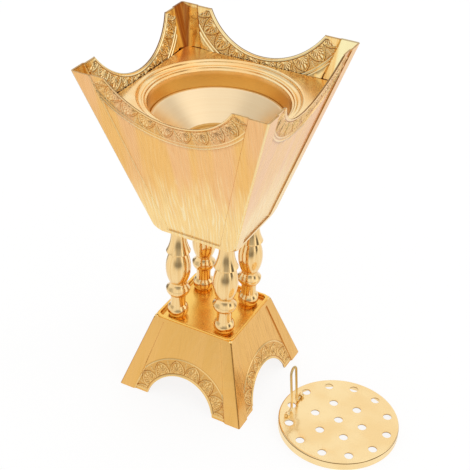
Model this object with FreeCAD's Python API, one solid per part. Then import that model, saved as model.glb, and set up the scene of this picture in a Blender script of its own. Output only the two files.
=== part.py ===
import FreeCAD, Part
import math
import os

os.makedirs("parts", exist_ok=True)

Vec = FreeCAD.Vector
UP = Vec(0, 0, 1)
INWARD = Vec(0, 1, 0)
ACROSS = Vec(1, 0, 0)

# Whole burner: Z is up from the table, and the burner's axis is the Z axis
total_height = 198.0
stand_height = 102.9
sheet = 0.9
press_depth = 0.7
overrun = 5.0

# Vessel: an open box of four pressed panels that lean outwards to four horns
mouth_width = 104.6
vessel_foot_inset = 0.05
horn_flat = 19.1
scallop_depth = 17.8
vessel_strip_head = 10.4
vessel_strip_foot = 9.0
vessel_field_margin = 2.4
vessel_floor_sheet = 1.2
vessel_corner_clip = 1.8
vessel_corner_round = 1.2

# Base: a pyramid of four pressed panels with an arch between the feet
base_height = 46.0
base_foot_width = 77.4
base_head_width = 47.9
arch_width = 41.4
arch_rise = 15.8
base_strip_head = 6.8
base_strip_foot = 9.6
base_corner_clip = 1.2
base_corner_round = 0.7

# Deck: a pressed pan whose flange lies on the heads of the base panels
deck_drop = 2.2
deck_sheet = 0.9
deck_wall = 0.7
deck_corner = 3.6
deck_field_gap = 0.2

# Four turned columns with a tapped hole in each end
ball_clearance = 1.8
ball_width = 11.8
ball_foot_width = 9.2
ball_neck_width = 8.6
waist_width = 8.3
bead_width = 13.4
bead_end_width = 9.2
bead_swell = 0.6
bead_hollow = 0.35
egg_width = 13.9
egg_end_width = 9.4
ring_width = 12.0
bell_width = 13.3
neck_width = 8.3
capital_width = 10.8
bell_lip = 0.6
capital_lip = 0.8
ball_share = 0.127
waist_share = 0.240
lip_share = 0.311
bead_share = 0.382
egg_share = 0.714
ring_share = 0.722
neck_share = 0.917

# Screws and washers, the same above the vessel floor and below the deck
screw_width = 4.0
screw_reach = 12.0
head_width = 7.4
head_height = 2.6
head_dome = 1.2
dome_share = 0.7
washer_width = 9.0
washer_sheet = 0.8
washer_play = 0.15
tap_play = 0.05
tap_tip = 1.5

# Tray: a pressed square plate with a turned-down edge and a collar that steps down
tray_drop = 3.0
tray_sheet = 1.0
tray_skirt = 6.0
tray_clearance = 0.3
tray_corner = 3.0
collar_margin = 1.6
collar_sheet = 0.9
collar_roll = 1.2
cove_width = 2.1
cove_drop = 1.1
cove_sag = 0.35
ridge_width = 1.6
ridge_height = 0.3
riser_width = 0.2
riser_drop = 0.8
step_width = 1.1
step_drop = 0.4
collar_taper = 1.2
ledge_depth = 13.0
ledge_width = 1.2

# Charcoal cup: a spun cone that hangs by its rim on the ledge of the collar
cup_rim_play = 0.4
cup_rim_sheet = 0.8
cup_sheet = 0.8
cup_rim_width = 1.4
cup_floor_width = 36.6
cup_depth = 13.3
cup_dish_margin = 1.0
cup_dish_taper = 0.6
cup_dish_depth = 1.6

# Pierced plate, which lies on the table beside the burner
plate_gap = 12.8
plate_y = -9.0
plate_width = 66.4
plate_rim = 4.95
plate_sheet = 0.9
plate_edge_round = 0.8
hole_width = 4.7
hole_margin = 5.6
ring_gap = 14.0
inner_hole_count = 6
outer_hole_count = 12
hole_turn = 4.6

# Wire handle of the plate, whose feet turn in two lanced eyelets
wire_width = 1.4
loop_width = 6.4
loop_height = 26.0
loop_bend = 1.6
feet_span = 21.8
handle_inset = 7.3
handle_offset = 2.5
handle_lift = 0.25
handle_lean = 4.8
handle_play = 0.08
eyelet_wall = 0.7
eyelet_length = 2.0
eyelet_inset = 0.9

side_names = ("front", "right", "back", "left")
corner_names = ("front_left", "front_right", "back_right", "back_left")


def save(shape, name):
    """Write one piece to its own file."""
    shape.exportStep("parts/" + name + ".step")


def quarter_turn(shape, count):
    """Copy of a shape turned round the burner's axis by quarter turns."""
    copy = shape.copy()
    copy.rotate(Vec(0, 0, 0), UP, 90 * count)
    return copy


def placed(shape, place):
    """Shape moved from a panel's own plane to where the panel stands."""
    shape.Placement = place.multiply(shape.Placement)
    return shape


def turned(outline):
    """Solid turned round the Z axis from a closed outline of radii and heights.

    A pair of numbers is a point to draw a straight line to. A pair of such
    points is an arc through the first to the second.
    """
    edges = []
    here = Vec(outline[0][0], 0, outline[0][1])
    for step in outline[1:] + outline[:1]:
        if isinstance(step[0], tuple):
            (middle_r, middle_z), (end_r, end_z) = step
            end = Vec(end_r, 0, end_z)
            edges.append(Part.Arc(here, Vec(middle_r, 0, middle_z), end).toShape())
        else:
            end = Vec(step[0], 0, step[1])
            edges.append(Part.makeLine(here, end))
        here = end
    return Part.Face(Part.Wire(edges)).revolve(Vec(0, 0, 0), UP, 360)


def rounded_square(half, radius, z):
    """Level square outline about the Z axis with round corners."""
    flat = half - radius
    reach = flat + radius * math.sqrt(0.5)
    corner = (Vec(half, flat, z), Vec(reach, reach, z), Vec(flat, half, z))
    edges = []
    for k in range(4):
        turn = FreeCAD.Rotation(UP, 90 * k)
        start, middle, end = (turn.multVec(point) for point in corner)
        following = FreeCAD.Rotation(UP, 90 * (k + 1)).multVec(corner[0])
        edges.append(Part.Arc(start, middle, end).toShape())
        edges.append(Part.makeLine(end, following))
    return Part.Wire(edges)


class Slope:
    """Outer plane of a leaning front panel, from a level foot to a level head."""

    def __init__(self, foot_half, foot_z, head_half, head_z):
        self.foot_half, self.foot_z = foot_half, foot_z
        self.head_half, self.head_z = head_half, head_z
        self.lean = math.atan2(head_half - foot_half, head_z - foot_z)
        self.length = (head_z - foot_z) / math.cos(self.lean)
        self.sheet_level = sheet / math.cos(self.lean)
        self.press_level = press_depth / math.cos(self.lean)
        turn = FreeCAD.Rotation(ACROSS, math.degrees(self.lean))
        self.place = FreeCAD.Placement(Vec(0, -foot_half, foot_z), turn)

    def half(self, z):
        """Half width between opposite outer planes at a height."""
        return self.foot_half + (z - self.foot_z) * math.tan(self.lean)

    def inside(self, z):
        """Half width between the backs of opposite pressed fields at a height."""
        return self.half(z) - self.sheet_level - self.press_level

    def mitred_sheet(self, foot_z, head_z):
        """Flat front sheet between two heights, mitred to its neighbours."""
        ends = []
        for z in (foot_z, head_z):
            outer = self.half(z)
            inner = outer - self.sheet_level
            points = [Vec(-outer, -outer, z), Vec(outer, -outer, z)]
            points += [Vec(inner, -inner, z), Vec(-inner, -inner, z)]
            ends.append(Part.makePolygon(points + points[:1]))
        return Part.makeLoft(ends, True, True)

    def rounded_body(self, foot_z, head_z, corner):
        """Solid within the outer planes between two heights, with round corners."""
        ends = [rounded_square(self.half(z), corner, z) for z in (foot_z, head_z)]
        return Part.makeLoft(ends, True, True)

    def field(self, strip_foot, strip_head, start, end, grow, front, back):
        """Slab of the field between the corner strips, at depths front to back."""
        points = []
        for height, first in ((start, -1), (end, 1)):
            share = height / self.length
            strip = strip_foot + (strip_head - strip_foot) * share
            half = self.foot_half + height * math.sin(self.lean) - strip + grow
            points += [Vec(first * half, front, height), Vec(-first * half, front, height)]
        face = Part.Face(Part.makePolygon(points + points[:1]))
        return placed(face.extrude(INWARD * (back - front)), self.place)

    def round_hole(self, chord_half, rise, up):
        """Cylinder through the panel whose chord lies on its foot or its head."""
        radius = (chord_half ** 2 + rise ** 2) / (2 * rise)
        centre = self.length - rise + radius if up else rise - radius
        deep = sheet + press_depth + 2 * overrun
        start = Vec(0, -overrun, centre)
        return placed(Part.makeCylinder(radius, deep, start, INWARD), self.place)

    def corner_block(self, z, depth, rise):
        """Slanted block that takes the tip off the front right corner."""
        outward = Vec(1, -1, rise * math.sqrt(2)).normalize()
        size = 2 * self.half(z)
        block = Part.makeBox(size, size, size, Vec(-size / 2, -size / 2, -depth))
        turn = FreeCAD.Rotation(UP, outward)
        return placed(block, FreeCAD.Placement(Vec(self.half(z), -self.half(z), z), turn))


def pressed_panel(slope, foot_z, head_z, strip_foot, strip_head, start, end):
    """Front panel whose field between the corner strips is pressed inwards."""
    panel = slope.mitred_sheet(foot_z, head_z)
    strips = (strip_foot, strip_head, start, end)
    panel = panel.cut(slope.field(*strips, 0, -overrun, press_depth))
    panel = panel.fuse(slope.field(*strips, sheet, press_depth, press_depth + sheet))
    wide = 2 * max(slope.foot_half, slope.head_half)
    level = Part.makeBox(2 * wide, wide, head_z - foot_z, Vec(-wide, -wide, foot_z))
    return panel.common(level)


base = Slope(base_foot_width / 2, 0, base_head_width / 2, base_height)
vessel = Slope(base_head_width / 2 - vessel_foot_inset, stand_height, mouth_width / 2, total_height)
deck_top = base_height - deck_drop
deck_under = deck_top - deck_sheet
vessel_floor_top = stand_height + vessel_floor_sheet
tray_top = total_height - scallop_depth - tray_drop
ledge_top = tray_top - ledge_depth
collar_brim = vessel.inside(tray_top) - tray_clearance - collar_margin
collar_mouth = collar_brim - collar_roll - cove_width - ridge_width - riser_width - step_width
collar_foot = collar_mouth - collar_taper
plate_x = base_foot_width / 2 + plate_gap + plate_width / 2


def vessel_panel():
    """Front vessel panel: its head is scooped to an arc between two horns."""
    panel = pressed_panel(vessel, stand_height, total_height, vessel_strip_foot, vessel_strip_head,
                          vessel_field_margin, vessel.length + overrun)
    chord_half = mouth_width / 2 - horn_flat
    rise = scallop_depth / math.cos(vessel.lean)
    panel = panel.cut(vessel.round_hole(chord_half, rise, True))
    tip = vessel.corner_block(stand_height, vessel_corner_clip, -1)
    panel = panel.cut([tip, quarter_turn(tip, -1)])
    return panel.common(vessel.rounded_body(stand_height, total_height, vessel_corner_round))


def vessel_floor():
    """Floor plate that fills the foot of the vessel between the panels."""
    ends = []
    for z in (stand_height, vessel_floor_top):
        half = vessel.half(z) - vessel.sheet_level
        points = [Vec(-half, -half, z), Vec(half, -half, z), Vec(half, half, z), Vec(-half, half, z)]
        ends.append(Part.makePolygon(points + points[:1]))
    plate = Part.makeLoft(ends, True, True)
    tip = vessel.corner_block(stand_height, vessel_corner_clip, -1)
    plate = plate.cut([quarter_turn(tip, k) for k in range(4)])
    return plate.cut(screw_holes(stand_height, vessel_floor_top))


def base_panel():
    """Front base panel with the arch that leaves a foot at each corner."""
    head_z = base_height - deck_sheet
    end = (deck_under - deck_field_gap) / math.cos(base.lean)
    panel = pressed_panel(base, 0, head_z, base_strip_foot, base_strip_head, -overrun, end)
    panel = panel.cut(base.round_hole(arch_width / 2, arch_rise / math.cos(base.lean), False))
    tip = base.corner_block(head_z, base_corner_clip, 1)
    panel = panel.cut([tip, quarter_turn(tip, -1)])
    return panel.common(base.rounded_body(0, head_z, base_corner_round))


def pan_half(z):
    """Half width of the deck's hollow at a height."""
    return base.half(z) - base.sheet_level - deck_wall


def base_deck():
    """Pan that closes the head of the base, with a flange on the panels."""
    head_z = base_height - deck_sheet
    flange = Part.Face(rounded_square(base_head_width / 2, deck_corner, head_z))
    body = [rounded_square(pan_half(z) + deck_wall, deck_corner, z) for z in (deck_under, head_z)]
    pan = flange.extrude(UP * deck_sheet).fuse(Part.makeLoft(body, True, True))
    inner_corner = deck_corner - deck_wall
    pocket = [rounded_square(pan_half(z), inner_corner, z) for z in (deck_top, base_height)]
    pan = pan.cut(Part.makeLoft(pocket, True, True))
    return pan.cut(screw_holes(deck_under, deck_top)).removeSplitter()


def column_places():
    """Centres of the columns, whose balls stand clear of the deck's lip."""
    half = pan_half(base_height) - ball_width / 2 - ball_clearance
    return [Vec(-half, -half, 0), Vec(half, -half, 0), Vec(half, half, 0), Vec(-half, half, 0)]


def screw_holes(low, high):
    """Clearance holes for the four screws through a plate."""
    radius = screw_width / 2 + washer_play
    deep = high - low + 2 * overrun
    return [Part.makeCylinder(radius, deep, at + UP * (low - overrun)) for at in column_places()]


def column():
    """Turned baluster on the Z axis: ball, bead, egg, ring and bell."""
    tall = stand_height - deck_top
    at = lambda share: deck_top + tall * share
    half = lambda low, high: (at(low) + at(high)) / 2
    mean = lambda one, other: (one + other) / 4
    bell_z = at(ring_share) + bell_lip
    outline = [
        (0, deck_top),
        (ball_foot_width / 2, deck_top),
        ((ball_width / 2, half(0, ball_share)), (ball_neck_width / 2, at(ball_share))),
        ((waist_width / 2, half(ball_share, waist_share)), (bead_end_width / 2, at(waist_share))),
        ((mean(bead_end_width, bead_width) + bead_swell, half(waist_share, lip_share)),
         (bead_width / 2, at(lip_share))),
        ((mean(bead_width, egg_end_width) - bead_hollow, half(lip_share, bead_share)),
         (egg_end_width / 2, at(bead_share))),
        ((egg_width / 2, half(bead_share, egg_share)), (egg_end_width / 2, at(egg_share))),
        (ring_width / 2, at(egg_share)),
        (ring_width / 2, at(ring_share)),
        (bell_width / 2, at(ring_share)),
        (bell_width / 2, bell_z),
        ((neck_width / 2 + (bell_width - neck_width) / 8, half(ring_share, neck_share)),
         (neck_width / 2, at(neck_share))),
        (capital_width / 2, stand_height - capital_lip),
        (capital_width / 2, stand_height),
        (0, stand_height),
    ]
    shaft = turned(outline)
    tap_radius = screw_width / 2 + tap_play
    upper_grip = screw_reach - vessel_floor_sheet - washer_sheet + tap_tip
    lower_grip = screw_reach - deck_sheet - washer_sheet + tap_tip
    upper = Part.makeCylinder(tap_radius, upper_grip, Vec(0, 0, stand_height - upper_grip))
    lower = Part.makeCylinder(tap_radius, lower_grip, Vec(0, 0, deck_top))
    return shaft.cut([upper, lower])


def screw(seat, way):
    """Pan head screw on the Z axis: the head sits on seat, the shank goes the other way."""
    head_side = head_height - head_dome
    outline = [
        (0, seat - way * screw_reach),
        (screw_width / 2, seat - way * screw_reach),
        (screw_width / 2, seat),
        (head_width / 2, seat),
        (head_width / 2, seat + way * head_side),
        ((head_width / 2 - head_dome / 2, seat + way * (head_side + head_dome * dome_share)),
         (head_width / 4, seat + way * head_height)),
        (0, seat + way * head_height),
    ]
    return turned(outline)


def washer(low):
    """Flat washer on the Z axis."""
    disc = Part.makeCylinder(washer_width / 2, washer_sheet, Vec(0, 0, low))
    hole = Part.makeCylinder(screw_width / 2 + washer_play, washer_sheet, Vec(0, 0, low))
    return disc.cut(hole)


def at_columns(shape):
    """Group of four copies of a shape, one on the axis of each column."""
    copies = []
    for place in column_places():
        copy = shape.copy()
        copy.translate(place)
        copies.append(copy)
    return Part.makeCompound(copies)


def tray_plate():
    """Square plate with a turned-down edge, pressed down to a collar in its middle."""
    half = lambda z: vessel.inside(z) - tray_clearance
    low = tray_top - tray_skirt
    hollow_low = low - overrun
    hollow_high = tray_top - tray_sheet
    outer = [rounded_square(half(z), tray_corner, z) for z in (low, tray_top)]
    inner_corner = tray_corner - tray_sheet
    inner = [rounded_square(half(z) - tray_sheet, inner_corner, z) for z in (hollow_low, hollow_high)]
    plate = Part.makeLoft(outer, True, True).cut(Part.makeLoft(inner, True, True))
    roll_r, roll_z = collar_brim - collar_roll, tray_top - collar_roll
    roll_bulge = collar_roll * math.sqrt(0.5)
    cove_r, cove_z = roll_r - cove_width, roll_z - cove_drop
    dip_r, dip_z = (roll_r + cove_r + cove_sag) / 2, (roll_z + cove_z) / 2 - cove_sag
    ridge_r = cove_r - ridge_width
    riser_r, riser_z = ridge_r - riser_width, cove_z - riser_drop
    mouth_z = riser_z - step_drop
    lap = collar_sheet / 2
    collar = turned([
        (collar_brim + lap, tray_top),
        (collar_brim, tray_top),
        ((collar_brim - roll_bulge, roll_z + roll_bulge), (roll_r, roll_z)),
        ((dip_r, dip_z), (cove_r, cove_z)),
        ((cove_r - ridge_width / 2, cove_z + ridge_height), (ridge_r, cove_z)),
        (riser_r, riser_z),
        (collar_mouth, mouth_z),
        (collar_foot, ledge_top),
        (collar_foot - ledge_width, ledge_top),
        (collar_foot - ledge_width, ledge_top - collar_sheet),
        (collar_foot + collar_sheet, ledge_top - collar_sheet),
        (collar_mouth + collar_sheet, mouth_z - collar_sheet),
        (riser_r + collar_sheet, riser_z - collar_sheet),
        (ridge_r + collar_sheet, cove_z - collar_sheet),
        (cove_r, cove_z - collar_sheet),
        ((dip_r + lap, dip_z - collar_sheet), (roll_r + collar_sheet, roll_z)),
        (collar_brim, tray_top - tray_sheet),
        (collar_brim + lap, tray_top - tray_sheet),
    ])
    opening = Part.makeCylinder(collar_brim + lap / 2, tray_sheet + 2 * overrun,
                                Vec(0, 0, tray_top - tray_sheet - overrun))
    return plate.cut(opening).fuse(collar).removeSplitter()


def charcoal_cup():
    """Spun cone with a flat rim and a shallow dish in its floor."""
    rim = collar_foot - cup_rim_play
    rim_top = ledge_top + cup_rim_sheet
    mouth = rim - cup_rim_width
    floor_r = cup_floor_width / 2
    dish = floor_r - cup_dish_margin
    dish_foot = dish - cup_dish_taper
    floor_z = rim_top - cup_depth
    dish_z = floor_z - cup_dish_depth
    run = mouth - floor_r
    wall_level = cup_sheet * math.hypot(run, cup_depth) / cup_depth
    mouth_out = mouth + wall_level - run * cup_rim_sheet / cup_depth
    floor_out = floor_r + wall_level - run * cup_sheet / cup_depth
    return turned([
        (0, dish_z),
        (dish_foot, dish_z),
        (dish, floor_z),
        (floor_r, floor_z),
        (mouth, rim_top),
        (rim, rim_top),
        (rim, ledge_top),
        (mouth_out, ledge_top),
        (floor_out, floor_z - cup_sheet),
        (dish + cup_sheet, floor_z - cup_sheet),
        (dish_foot + cup_sheet, dish_z - cup_sheet),
        (0, dish_z - cup_sheet),
    ])


def eyelet_places():
    """Middles of the two eyelets, on the axis that the handle's feet turn on."""
    axis = Vec(plate_x - plate_width / 2 + handle_inset, plate_y - handle_offset,
               plate_rim + wire_width / 2 + handle_lift)
    reach = feet_span / 2 - eyelet_inset - eyelet_length / 2
    return axis, [axis - INWARD * reach, axis + INWARD * reach]


def pierced_plate():
    """Round lid with a turned-down rim, three rings of holes and two eyelets."""
    radius = plate_width / 2
    top = plate_rim
    shoulder = plate_edge_round * (1 - math.sqrt(0.5))
    plate = turned([
        (0, top - plate_sheet),
        (0, top),
        (radius - plate_edge_round, top),
        ((radius - shoulder, top - shoulder), (radius, top - plate_edge_round)),
        (radius, 0),
        (radius - plate_sheet, 0),
        (radius - plate_sheet, top - plate_sheet),
    ])
    outer_ring = radius - hole_margin
    rings = ((0, 1), (outer_ring - ring_gap, inner_hole_count), (outer_ring, outer_hole_count))
    holes = []
    for ring_radius, count in rings:
        for k in range(count):
            turn = FreeCAD.Rotation(UP, hole_turn + 360 * k / count)
            centre = turn.multVec(ACROSS * -ring_radius)
            holes.append(Part.makeCylinder(hole_width / 2, top + overrun, centre))
    plate = plate.cut(holes)
    plate.translate(Vec(plate_x, plate_y, 0))
    bore = wire_width / 2 + handle_play
    for middle in eyelet_places()[1]:
        start = middle - INWARD * (eyelet_length / 2)
        tube = Part.makeCylinder(bore + eyelet_wall, eyelet_length, start, INWARD)
        hole = Part.makeCylinder(bore, eyelet_length, start, INWARD)
        plate = plate.fuse(tube).cut(hole)
    return plate


def plate_handle():
    """Wire bent to a narrow upright loop with a foot to each side."""
    axis = eyelet_places()[0]
    half_span = feet_span / 2
    half_loop = loop_width / 2
    at = lambda y, z: axis + Vec(0, y, z)
    knee = loop_bend * math.sqrt(0.5)
    shoulder_z = loop_height - half_loop
    edges = []
    for way in (-1, 1):
        foot_in = half_loop + loop_bend
        foot = Part.makeLine(at(way * half_span, 0), at(way * foot_in, 0))
        bend = Part.Arc(at(way * foot_in, 0), at(way * (foot_in - knee), loop_bend - knee),
                        at(way * half_loop, loop_bend)).toShape()
        leg = Part.makeLine(at(way * half_loop, loop_bend), at(way * half_loop, shoulder_z))
        edges += [foot, bend, leg]
    crown = Part.Arc(at(-half_loop, shoulder_z), at(0, loop_height), at(half_loop, shoulder_z)).toShape()
    path = Part.Wire(Part.__sortEdges__(edges + [crown]))
    section = Part.Wire(Part.makeCircle(wire_width / 2, at(-half_span, 0), INWARD))
    handle = path.makePipeShell([section], True, False)
    handle.rotate(axis, INWARD, -handle_lean)
    return handle


for k, side in enumerate(side_names):
    save(quarter_turn(vessel_panel(), k), "vessel_panel_" + side)
    save(quarter_turn(base_panel(), k), "base_panel_" + side)
save(vessel_floor(), "vessel_floor")
save(base_deck(), "base_deck")

for name, place in zip(corner_names, column_places()):
    post = column()
    post.translate(place)
    save(post, "column_" + name)

save(at_columns(screw(vessel_floor_top + washer_sheet, 1)), "upper_screws")
save(at_columns(washer(vessel_floor_top)), "upper_washers")
save(at_columns(screw(deck_under - washer_sheet, -1)), "lower_screws")
save(at_columns(washer(deck_under - washer_sheet)), "lower_washers")

save(tray_plate(), "tray_plate")
save(charcoal_cup(), "charcoal_cup")
save(pierced_plate(), "pierced_plate")
save(plate_handle(), "plate_handle")
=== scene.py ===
import math

import bpy
import numpy as np
from mathutils import Matrix, Vector
from mathutils.geometry import delaunay_2d_cdt


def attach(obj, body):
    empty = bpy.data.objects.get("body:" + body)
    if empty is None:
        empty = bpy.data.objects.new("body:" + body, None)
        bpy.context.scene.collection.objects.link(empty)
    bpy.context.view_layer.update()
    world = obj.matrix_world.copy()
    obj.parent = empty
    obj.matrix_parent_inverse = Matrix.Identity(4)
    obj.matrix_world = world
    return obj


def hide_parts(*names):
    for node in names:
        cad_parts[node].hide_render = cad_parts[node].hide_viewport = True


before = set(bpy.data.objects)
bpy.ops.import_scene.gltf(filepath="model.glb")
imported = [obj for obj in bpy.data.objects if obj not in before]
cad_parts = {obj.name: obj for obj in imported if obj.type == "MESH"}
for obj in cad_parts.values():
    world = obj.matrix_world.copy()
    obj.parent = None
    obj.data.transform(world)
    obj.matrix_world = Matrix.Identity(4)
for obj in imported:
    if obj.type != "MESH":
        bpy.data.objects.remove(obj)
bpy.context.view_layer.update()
mm = 0.001


# Light tent and table top, which are not part of the burner. White cloth glows on all sides,
# dimmed round the gap that the camera looks through and in folds, and brighter on the right.
class Value:
    """A node's output, on which Python's arithmetic adds Math nodes."""

    def __init__(self, recipe, socket):
        self.recipe, self.socket = recipe, socket

    def __add__(self, other):
        return self.recipe.reckon("ADD", self, other)

    def __radd__(self, other):
        return self.recipe.reckon("ADD", other, self)

    def __sub__(self, other):
        return self.recipe.reckon("SUBTRACT", self, other)

    def __rsub__(self, other):
        return self.recipe.reckon("SUBTRACT", other, self)

    def __mul__(self, other):
        return self.recipe.reckon("MULTIPLY", self, other)

    def __rmul__(self, other):
        return self.recipe.reckon("MULTIPLY", other, self)

    def __pow__(self, other):
        return self.recipe.reckon("POWER", self, other)


class Recipe:
    """The nodes of one finish, or of the light."""

    def __init__(self, owner):
        owner.use_nodes = True
        self.owner, self.tree = owner, owner.node_tree
        self.tree.nodes.clear()

    def node(self, kind, out=0, settings=(), sockets=()):
        """Adds a node with its settings and sockets, and gives one of its outputs."""
        new = self.tree.nodes.new("ShaderNode" + kind)
        for name, value in dict(settings).items():
            setattr(new, name, value)
        for name, value in dict(sockets).items():
            if isinstance(value, Value):
                self.tree.links.new(value.socket, new.inputs[name])
            else:
                new.inputs[name].default_value = value
        return Value(self, new.outputs[out]) if len(new.outputs) else None

    def reckon(self, operation, *values):
        """Adds a Math node."""
        return self.node("Math", 0, {"operation": operation}, dict(enumerate(values)))

    def limit(self, value):
        """The value, kept from 0 to 1."""
        return self.node("Clamp", 0, (), {"Value": value})

    def rise(self, value, low, high, start=0.0, end=1.0):
        """A soft change from start to end while value goes from low to high."""
        sockets = {"Value": value, "From Min": low, "From Max": high, "To Min": start, "To Max": end}
        return self.node("MapRange", 0, {"interpolation_type": "SMOOTHSTEP"}, sockets)

    def between(self, value, low, full, still_full, high):
        """A soft band: 0 outside low and high, and 1 from full to still_full."""
        return self.rise(value, low, full) * self.rise(value, still_full, high, 1, 0)

    def blend(self, share, first, second):
        """A colour from the first, at share 0, to the second, at share 1."""
        first, second = (v if isinstance(v, Value) else (*v, 1) for v in (first, second))
        return self.node("Mix", 2, {"data_type": "RGBA"}, {0: share, 6: first, 7: second})

    def point(self, x, y, z):
        """A vector from its three numbers."""
        return self.node("CombineXYZ", 0, (), {0: x, 1: y, 2: z})

    def split(self, vector):
        """The three numbers of a vector."""
        parts = self.node("SeparateXYZ", 0, (), {0: vector}).socket.node.outputs
        return [Value(self, part) for part in parts]

    def from_camera(self, place):
        """Sideways, away and upward parts of a place, and its bearing in degrees, all as the camera faces."""
        turned = self.node("VectorRotate", 0, {"rotation_type": "Z_AXIS"},
                           {"Vector": place, "Angle": -camera_bearing})
        side, away, height = self.split(turned)
        return side, away, height, self.reckon("ARCTAN2", side, 0 - away) * math.degrees(1)

    def specks(self, at, scale=1.0, detail=2.0, rough=0.5):
        """Soft random value from 0 to 1."""
        sockets = {"Vector": at, "Scale": scale, "Detail": detail, "Roughness": rough}
        return self.node("TexNoise", 0, (), sockets)

    def metal(self, colour, rough, bump, depth, height):
        """Ends the recipe as bare metal with a fine bump, and gives the finish."""
        normal = self.node("Bump", 0, (), {"Strength": bump, "Distance": depth, "Height": height})
        shader = self.node("BsdfPrincipled", 0, (), {
            "Base Color": colour, "Metallic": 1.0, "Roughness": rough, "Normal": normal})
        self.node("OutputMaterial", 0, (), {"Surface": shader})
        return self.owner


camera_at = Vector((0.22734, -0.43212, 0.41672))
camera_aim = Vector((0.01893, -0.01425, 0.10768))
camera_roll = math.radians(2.359)
camera_bearing = math.radians(26.507)
back = (camera_at - camera_aim).normalized()
right = Vector((0, 0, 1)).cross(back).normalized()
upward = back.cross(right)
across = math.cos(camera_roll) * right + math.sin(camera_roll) * upward
above = math.cos(camera_roll) * upward - math.sin(camera_roll) * right
camera = bpy.data.objects.new("camera", bpy.data.cameras.new("camera"))
camera.data.lens = 82.82
camera.data.clip_start = 0.01
camera.matrix_world = Matrix.Translation(camera_at) @ Matrix((across, above, back)).transposed().to_4x4()
bpy.context.scene.collection.objects.link(camera)
bpy.context.scene.camera = camera
bpy.context.scene.view_settings.view_transform = "Standard"

world = bpy.data.worlds.new("cloth_tent")
bpy.context.scene.world = world
tent = Recipe(world)
_, _, height, bearing = tent.from_camera(tent.node("TexCoord", "Generated"))
cloth = 0.98
for left, right, soft, low, high, fade, change in (
        (-20, 32, 8, -0.3, 0.32, 0.16, -0.36),      # the gap that the camera looks through
        (-38, 30, 10, -0.3, 0.02, 0.14, -0.45),     # its foot
        (-16, 16, 6, 0.04, 0.34, 0.10, -0.2),       # the camera itself
        (37, 46, 4, -0.3, 0.6, 0.1, 0.45),          # bright strip beside the gap
        (52, 74, 5, -0.3, 0.42, 0.14, -0.85),       # second gap, to the right
        (80, 100, 6, -0.2, 0.74, 0.12, 0.3),        # bright cloth on the right
        (48, 98, 10, 0.66, 0.92, 0.08, 0.16),       # bright cloth above it
        (108, 126, 5, -0.02, 0.8, 0.1, -0.45),      # narrow fold behind on the right
        (-104, -56, 14, 0.12, 0.88, 0.08, -0.36),   # broad fold on the left
        (-134, -112, 6, 0.04, 0.8, 0.08, -0.40),    # narrow fold behind on the left
        (-168, -122, 6, -0.3, 0.20, 0.12, -0.75)):  # foot of the cloth behind on the left
    fold = tent.between(bearing, left - soft, left + soft, right - soft, right + soft)
    fold = fold * tent.between(height, low - fade, low + fade, high - fade, high + fade)
    cloth = cloth * (1 + fold * change) if change < 0 else cloth + fold * change
seen = tent.node("LightPath", "Is Camera Ray")
shine = tent.node("Background", 0, (), {"Color": (1, 1, 1, 1), "Strength": cloth * (1 - seen) + seen})
tent.node("OutputWorld", 0, (), {"Surface": shine})

floor_half = 0.9
floor_mesh = bpy.data.meshes.new("table_top")
floor_mesh.from_pydata([(-floor_half, -floor_half, 0), (floor_half, -floor_half, 0),
                        (floor_half, floor_half, 0), (-floor_half, floor_half, 0)], [], [(0, 1, 2, 3)])
floor = bpy.data.objects.new("table_top", floor_mesh)
bpy.context.scene.collection.objects.link(floor)
table = Recipe(bpy.data.materials.new("pale_table"))
looked_at, mirrored, passed = (
    table.node("LightPath", "Is " + ray + " Ray") for ray in ("Camera", "Glossy", "Transmission"))
spot_side, spot_away, _, spot_bearing = table.from_camera(table.node("TexCoord", "Object"))
near_dark = table.between(spot_bearing, -60, -14, 22, 42) * 0.80
near_dark = near_dark + table.between(spot_bearing, 47, 57, 69, 79) * 0.85
near_dark = near_dark * table.rise(spot_away, -0.34, -0.115, 1, 0)
left_dark = table.between(spot_bearing, -172, -160, -128, -116)
left_dark = left_dark * table.rise(spot_side, -0.16, -0.08, 1, 0) * 0.8
glow = table.blend((near_dark + left_dark) * mirrored, (1, 1, 1), (0, 0, 0))
shown = table.limit(looked_at + mirrored + passed)
own_light = table.node("Emission", 0, (), {"Color": glow, "Strength": shown * 0.86})
matt = table.node("BsdfDiffuse", 0, (), {"Color": (0.16, 0.16, 0.16, 1)})
both = table.node("AddShader", 0, (), {0: matt, 1: own_light})
table.node("OutputMaterial", 0, (), {"Surface": both})
floor_mesh.materials.append(table.owner)


# Vessel panels: four brass sheets pressed in one die, each with a scooped head between two
# horns. The field between the smooth corner strips is sunk, engraved with wood grain, and
# carries a band of petals along the scoop. They are mitred and soldered, then gold plated.
sides = ("front", "right", "back", "left")
side_shift = 200
sheet = 0.9
press_depth = 0.7
ramp = 0.55
edge_round = 0.34
bevel_share = 0.293
sharp_edge = math.radians(28)


def smooth(value):
    """Soft step of an array from 0 to 1."""
    value = np.clip(value, 0, 1)
    return value * value * (3 - 2 * value)


def hump(value, half):
    """Rounded ridge: 1 at 0, and 0 from half outwards."""
    return np.where(np.abs(value) < half, np.cos(np.clip(value / half, -1, 1) * math.pi / 2) ** 2, 0)


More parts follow.
